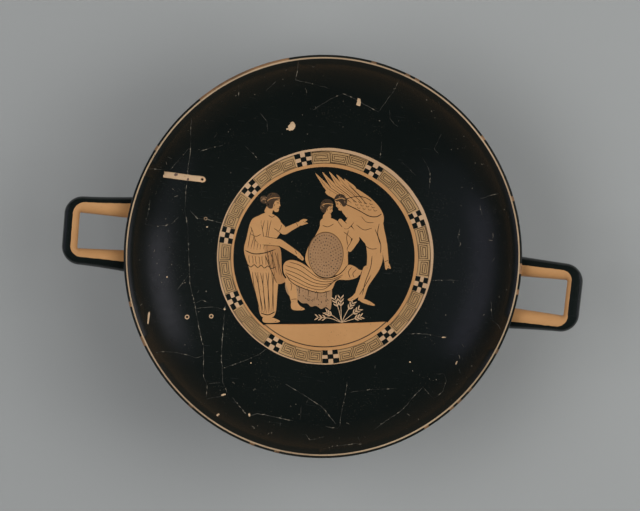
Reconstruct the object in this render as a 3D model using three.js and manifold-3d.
// Stemmed drinking cup (kylix): one piece of fired clay. A wide shallow bowl, a slender stem on a
// disc foot that is hollow underneath, and two square loop handles canted upwards from the bowl wall.
// Millimetres, +Z up, the foot rests on z = 0, the handles point along +X and -X.
import * as THREE from "three";
import { mergeVertices } from "three/addons/utils/BufferGeometryUtils.js";
import Module from "manifold-3d";

// ---- bowl ----
const facets = 72; // facets round the bowl, stem and foot
const rimRadius = 150; // mean radius at the lip
const rimHeight = 120; // lip above the table
const rimOval = 0.95; // the rim is pulled in by this much along X and let out along Y
const ovalStart = 62; // height below which the bowl, stem and foot are round
const floorHeight = 53; // inside of the bowl at its centre
const bowlA = 160; // half width of the ellipse the inside follows
const bowlB = 110.7; // half height of that ellipse
const lipInner = 146.6; // where the inside meets the rounded lip
const wallAtLip = 3.3; // wall thickness measured square to the inside
const wallAtFloor = 4.9;

// ---- stem and foot ----
const stemRadius = 10.6; // at its narrowest
const stemWaist = 36; // height of the narrowest place
const stemMeetsBowl = 27; // radius where the stem's flare has run into the bowl
const footRadius = 56;
const footEdge = 8.2; // height of the rounded foot edge
const footTopRadius = 50.5; // radius where the edge ends in a small step
const footTopHeight = 10.4; // top of the foot just inside the step
const restInner = 46.5; // the flat ring the cup stands on
const restOuter = 52.6;
const hollowRadius = 5; // the narrow end of the hollow under the foot
const hollowTop = 33;

// ---- handles ----
const rodAtRoot = 8.5; // half widths of the rod
const rodAtRim = 7.3;
const rodAtCorner = 6.2;
const rodAtCrossbar = 5.85;
const rodFlatten = 0.92; // height of the rod's section over its width
const cornerRadius = 7.4; // centre line of the rod at the two corners
const armSpread = 19.55; // each arm's centre line from the middle of the loop
const handleReach = 196.2; // crossbar's outer face from the axis, along X
const handleMiddle = -5.45; // the loops sit a little off the X axis
const rootHeight = 92; // centre line of the rod at its start
const rootX = 110; // start of the rod, inside the bowl, trimmed off along the wall
const handleRise = 23.5; // height gained from the root to the crossbar
const riseEarly = 0.35; // share of the rise that is a straight slope, the rest curves up
const rodSides = 14;
const handles = [
  { side: 1, yaw: 1.5 },
  { side: -1, yaw: 3.7 },
];

// ---- old repair cut into the inside of the bowl ----
const groove = { x0: -127.6, y0: 44.1, x1: -97.5, y1: 45.2, width: 4.5, depth: 0.8 };
const drillRadius = 0.85;
const drilled = [
  [-99.3, 45.1],
  [-95.9, -60],
  [-78, -57.2],
];

const wasm = await Module();
wasm.setup();

// A closed three.js geometry as a manifold-3d solid.
function solid(geometry) {
  const plain = geometry.clone();
  plain.deleteAttribute("normal");
  plain.deleteAttribute("uv");
  const merged = mergeVertices(plain, 1e-4);
  const index = merged.index.array;
  const kept = [];
  for (let i = 0; i < index.length; i += 3) {
    const [a, b, c] = [index[i], index[i + 1], index[i + 2]];
    if (a !== b && b !== c && c !== a) kept.push(a, b, c);
  }
  const vertProperties = merged.attributes.position.array;
  return new wasm.Manifold(new wasm.Mesh({ numProp: 3, vertProperties, triVerts: new Uint32Array(kept) }));
}

// The rim was pulled slightly oval when the handles were put on: round low down, oval at the lip.
function pullOval(geometry) {
  const p = geometry.attributes.position;
  for (let i = 0; i < p.count; i++) {
    const share = THREE.MathUtils.smoothstep(p.getZ(i), ovalStart, rimHeight);
    const pull = (rimOval / rimRadius) * share;
    p.setX(i, p.getX(i) * (1 - pull));
    p.setY(i, p.getY(i) * (1 + pull));
  }
  return geometry;
}

// A profile of [radius, height] pairs turned round Z.
function turned(profile) {
  const points = profile.map(([r, z]) => new THREE.Vector2(r, z));
  return pullOval(new THREE.LatheGeometry(points, facets).rotateX(Math.PI / 2));
}

// Height and slope of the inside of the bowl at a radius.
const insideZ = (r) => floorHeight + bowlB * (1 - Math.sqrt(1 - (r / bowlA) ** 2));
const insideSlope = (r) => (bowlB * r) / bowlA ** 2 / Math.sqrt(1 - (r / bowlA) ** 2);
const wallAt = (r) => THREE.MathUtils.lerp(wallAtFloor, wallAtLip, (r / lipInner) ** 0.8);

// The point a given distance below the inside, square to it.
function under(r, distance) {
  const slope = insideSlope(r);
  const length = Math.hypot(1, slope);
  return [r + (distance * slope) / length, insideZ(r) - distance / length];
}

// Points on a curve that leaves `from` along `way0` and arrives at `to` along `way1`.
function sweep(from, way0, way1, to, steps) {
  const v = (a) => new THREE.Vector2(a[0], a[1]);
  const curve = new THREE.CubicBezierCurve(v(from), v(from).add(v(way0)), v(to).sub(v(way1)), v(to));
  return curve.getPoints(steps).map((p) => [p.x, p.y]);
}

function spread(from, to, steps) {
  return Array.from({ length: steps + 1 }, (_, i) => from + ((to - from) * i) / steps);
}

// The whole turned body, from the top of the hollow under the foot round to the middle of the floor.
function turnedBody() {
  const hollow = [
    [0, hollowTop],
    [hollowRadius * 0.6, hollowTop - 1],
    [hollowRadius, hollowTop - 4],
    ...sweep([hollowRadius + 0.6, hollowTop - 10], [1, -10], [18, -3], [36, 3.6], 4),
    [restInner - 0.8, 0.7],
  ];
  const edge = spread(-58, 88, 4).map((deg) => {
    const a = THREE.MathUtils.degToRad(deg);
    const half = footEdge / 2;
    return [footRadius - half + half * Math.cos(a), half + half * Math.sin(a)];
  });
  const foot = [
    [restInner, 0],
    [restOuter, 0],
    ...edge,
    [footTopRadius + 0.5, footEdge + 0.3],
    [footTopRadius, footTopHeight],
  ];
  const neck = sweep([footTopRadius - 1.2, footTopHeight + 0.25], [-30, 3], [0, 13], [stemRadius, stemWaist], 6);
  const join = under(stemMeetsBowl, wallAt(stemMeetsBowl));
  const flare = sweep([stemRadius, stemWaist], [0, 8.5], [8, 0.9], join, 5).slice(1);
  const outside = spread(stemMeetsBowl, lipInner - 1.2, 9)
    .slice(1)
    .map((r) => under(r, wallAt(r)));
  const lip = [
    [rimRadius - 0.35, rimHeight - 1.9],
    [rimRadius, rimHeight - 1.0],
    [rimRadius - 0.45, rimHeight - 0.3],
    [rimRadius - 1.6, rimHeight],
  ];
  const inside = spread(lipInner, 0, 12).map((r) => [r, insideZ(r)]);
  return solid(turned([...hollow, ...foot, ...neck, ...flare, ...outside, ...lip, ...inside]));
}

// The space inside the bowl, taken `distance` into the wall and open above the rim.
function cavity(distance) {
  const wall = spread(0, 144, 15).map((r) => under(r, distance));
  const top = rimHeight + 30;
  wall[0][0] = 0;
  return solid(turned([...wall, [wall.at(-1)[0] + 12, top], [0, top]]));
}

// One loop handle: a rod bent out, across and back, thinner at the crossbar than at the wall.
function loopHandle({ side, yaw }) {
  const tip = handleReach - rodAtCrossbar;
  const bend = tip - cornerRadius;
  const rise = (x) => {
    const u = (x - rootX) / (tip - rootX);
    return {
      z: rootHeight + handleRise * (riseEarly * u + (1 - riseEarly) * u * u),
      slope: (handleRise * (riseEarly + 2 * (1 - riseEarly) * u)) / (tip - rootX),
    };
  };
  const halfWidth = (x) =>
    x < rimRadius
      ? THREE.MathUtils.lerp(rodAtRoot, rodAtRim, (x - rootX) / (rimRadius - rootX))
      : THREE.MathUtils.lerp(rodAtRim, rodAtCorner, (x - rimRadius) / (bend - rimRadius));
  const path = spread(rootX, bend, 7).map((x) => ({ x, y: armSpread, way: 0, rod: halfWidth(x) }));
  for (const a of spread(90, 0, 5).slice(1)) {
    const way = THREE.MathUtils.degToRad(a);
    path.push({
      x: bend + cornerRadius * Math.cos(way),
      y: armSpread - cornerRadius + cornerRadius * Math.sin(way),
      way: way - Math.PI / 2,
      rod: THREE.MathUtils.lerp(rodAtCrossbar, rodAtCorner, a / 90),
    });
  }
  const back = path.map(({ x, y, way, rod }) => ({ x, y: -y, way: -Math.PI - way, rod })).reverse();
  path.push({ x: tip, y: 0, way: -Math.PI / 2, rod: rodAtCrossbar }, ...back);

  const position = [];
  const index = [];
  for (const { x, y, way, rod } of path) {
    const { z, slope } = rise(x);
    const up = new THREE.Vector3(-slope, 0, 1).normalize();
    const along = new THREE.Vector3(Math.cos(way), Math.sin(way), Math.cos(way) * slope).normalize();
    const across = new THREE.Vector3().crossVectors(up, along);
    for (let k = 0; k < rodSides; k++) {
      const a = (2 * Math.PI * k) / rodSides;
      const p = new THREE.Vector3(x, y, z)
        .addScaledVector(across, rod * Math.cos(a))
        .addScaledVector(up, rodFlatten * rod * Math.sin(a));
      position.push(p.x, p.y, p.z);
    }
  }
  const rings = path.length;
  for (let i = 0; i + 1 < rings; i++)
    for (let k = 0; k < rodSides; k++) {
      const a = i * rodSides + k;
      const b = i * rodSides + ((k + 1) % rodSides);
      index.push(a, a + rodSides, b, b, a + rodSides, b + rodSides);
    }
  const last = (rings - 1) * rodSides;
  for (let k = 1; k + 1 < rodSides; k++) index.push(0, k, k + 1, last, last + k + 1, last + k);
  const rod = new THREE.BufferGeometry();
  rod.setAttribute("position", new THREE.Float32BufferAttribute(position, 3));
  rod.setIndex(index);

  const middle = (rimRadius + tip) / 2;
  rod.translate(-middle, 0, 0);
  rod.rotateZ(THREE.MathUtils.degToRad(side > 0 ? yaw : 180 + yaw));
  rod.translate(side * middle, handleMiddle, 0);
  rod.computeBoundingBox();
  const tipNow = side > 0 ? rod.boundingBox.max.x : rod.boundingBox.min.x;
  rod.translate(side * handleReach - tipNow, 0, 0);
  const made = solid(rod);
  return made.volume() > 0 ? made : solid(flipped(rod));
}

function flipped(geometry) {
  const g = geometry.clone();
  const i = g.index.array;
  for (let k = 0; k < i.length; k += 3) [i[k + 1], i[k + 2]] = [i[k + 2], i[k + 1]];
  return g;
}

// Straight-sided, round-ended tool as long as the groove, standing upright through the bowl wall.
function grooveTool() {
  const { x0, y0, x1, y1, width } = groove;
  const way = Math.atan2(y1 - y0, x1 - x0);
  const half = width / 2;
  const length = Math.hypot(x1 - x0, y1 - y0) - width;
  const shape = new THREE.Shape();
  shape.absarc(length / 2, 0, half, -Math.PI / 2, Math.PI / 2);
  shape.absarc(-length / 2, 0, half, Math.PI / 2, (3 * Math.PI) / 2);
  const tool = new THREE.ExtrudeGeometry(shape, { depth: 90, bevelEnabled: false, curveSegments: 4 });
  tool.rotateZ(way).translate((x0 + x1) / 2, (y0 + y1) / 2, 50);
  return solid(tool);
}

function drill([x, y]) {
  const bit = new THREE.CylinderGeometry(drillRadius, drillRadius, 90, 8).rotateX(Math.PI / 2);
  return solid(bit.translate(x, y, 95));
}

let cup = turnedBody();
const trim = cavity(1.6);
for (const handle of handles) cup = cup.add(loopHandle(handle).subtract(trim));
cup = cup.subtract(grooveTool().intersect(cavity(groove.depth)));
for (const place of drilled) cup = cup.subtract(drill(place));

const mesh = cup.getMesh();
const shell = new THREE.BufferGeometry();
shell.setAttribute("position", new THREE.BufferAttribute(new Float32Array(mesh.vertProperties), 3));
shell.setIndex(new THREE.BufferAttribute(new Uint32Array(mesh.triVerts), 1));
shell.computeVertexNormals();

const gloss = new THREE.MeshStandardMaterial({ color: 0x1c1d1c, roughness: 0.35, metalness: 0 });
const kylix = new THREE.Mesh(shell, gloss);
kylix.name = "kylix";

const part = new THREE.Group();
part.name = "kylix_cup";
part.add(kylix);
export default part;
